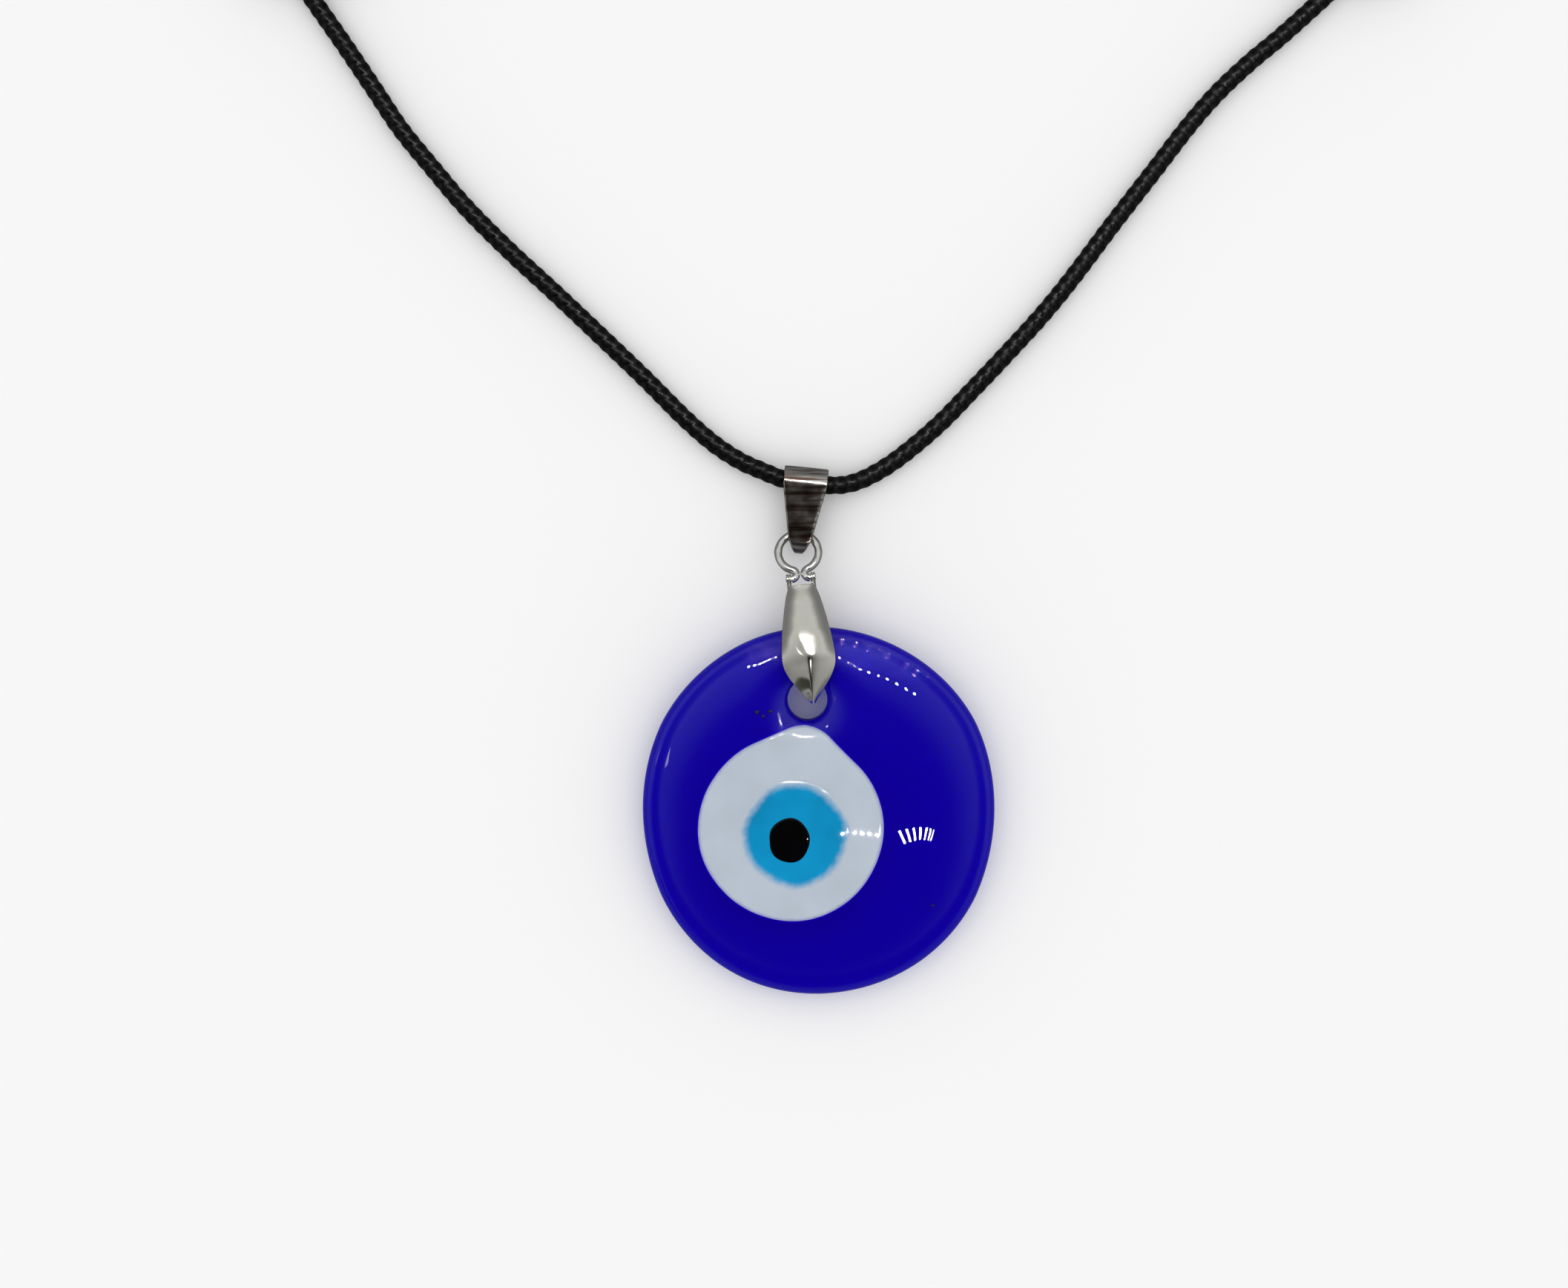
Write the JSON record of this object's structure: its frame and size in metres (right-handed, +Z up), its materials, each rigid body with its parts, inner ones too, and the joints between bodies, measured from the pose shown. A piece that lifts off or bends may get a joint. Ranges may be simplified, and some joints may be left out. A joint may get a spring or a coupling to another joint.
{
  "type": "evil eye ornament",
  "caption": "Round pressed-glass eye pendant held by a hinged leaf clip, a wire ring and a folded bail on a waxed cord that ends in a lobster clasp and an extender chain.",
  "frame": {"origin": "on the surface that the pendant lies on, below the middle of the pendant's length and width from the top of the bail to the bottom of the glass", "axes": "+X to the wearer's left as the front is seen, across the pendant; +Y from the glass towards the cord; +Z up, out of the front of the eye"},
  "size_m": [0.1474, 0.1439, 0.0079],
  "materials": {
    "cobalt_glass": "pressed and fire polished",
    "white_glass": "opaque glass, polished",
    "light_blue_glass": "opaque glass, polished",
    "black_glass": "opaque glass, polished",
    "polished_plate": "silver plated, polished",
    "satin_plate": "silver plated, worn satin",
    "ring_wire": "bright plated wire",
    "fitting_metal": "bright plated",
    "waxed_cord": "braided cotton, waxed"
  },
  "bodies": {
    "cord": {"cord_run": "waxed_cord", "cord_coil_left": "waxed_cord", "cord_coil_right": "waxed_cord", "cord_tail_left": "waxed_cord", "cord_tail_right": "waxed_cord", "end_cap_left": "fitting_metal", "end_cap_right": "fitting_metal"},
    "bail": {"bail": "satin_plate"},
    "ring": {"hanger_ring": "ring_wire"},
    "clip_back": {"clip_back_leaf": "polished_plate", "clip_back_post": "fitting_metal"},
    "clip_front": {"clip_front_leaf": "polished_plate", "clip_front_post": "fitting_metal"},
    "eye": {"glass_disc": "cobalt_glass", "white_glass": "white_glass", "iris_glass": "light_blue_glass", "pupil_glass": "black_glass"},
    "clasp_ring": {"clasp_ring": "ring_wire"},
    "clasp": {"clasp_body": "fitting_metal", "clasp_rivet": "ring_wire", "clasp_spring": "ring_wire"},
    "lever": {"clasp_lever": "fitting_metal"},
    "extender": {"extender_chain": "ring_wire", "extender_drop": "fitting_metal"}
  },
  "joints": [
    {"name": "bail_swing", "type": "hinge", "parent": "cord", "child": "bail", "pos_m": [-0.0015, 0.02777, 0.002], "axis": [-0.9952, 0.0976, 0], "range_deg": [-90, 90]},
    {"name": "ring_swing", "type": "hinge", "parent": "bail", "child": "ring", "pos_m": [-0.00249, 0.0222, 0.00231], "axis": [-1, 0, 0], "range_deg": [-45, 10]},
    {"name": "clip_swing", "type": "hinge", "parent": "ring", "child": "clip_back", "pos_m": [-0.002, 0.01714, 0.00432], "axis": [-0.9952, -0.0975, -0.0041], "range_deg": [-45, 45]},
    {"name": "clip_open", "type": "hinge", "parent": "clip_back", "child": "clip_front", "pos_m": [-0.002, 0.01714, 0.00432], "axis": [-0.9952, -0.0975, -0.0041], "range_deg": [0, 35]},
    {"name": "eye_turn", "type": "hinge", "parent": "clip_back", "child": "eye", "pos_m": [-0.00078, 0.00471, 0.0038], "axis": [0, -0.042, 0.9991], "range_deg": [-25, 25]},
    {"name": "clasp_ring_swing", "type": "hinge", "parent": "cord", "child": "clasp_ring", "pos_m": [-0.0403, 0.1107, 0.0016], "axis": [0, -1, 0], "range_deg": [-45, 60]},
    {"name": "clasp_swing", "type": "hinge", "parent": "clasp_ring", "child": "clasp", "pos_m": [-0.0384, 0.1107, 0.0016], "axis": [0, 0, 1], "range_deg": [-60, 60]},
    {"name": "lever_press", "type": "hinge", "parent": "clasp", "child": "lever", "pos_m": [-0.0342, 0.10805, 0.0016], "axis": [0, 0, 1], "range_deg": [0, 25], "stiffness_Nm_per_rad": 0.002, "springref_deg": -11.46},
    {"name": "extender_swing", "type": "hinge", "parent": "cord", "child": "extender", "pos_m": [0.04335, 0.1107, 0.0016], "axis": [0, 0, 1], "range_deg": [-15, 15]}
  ]
}
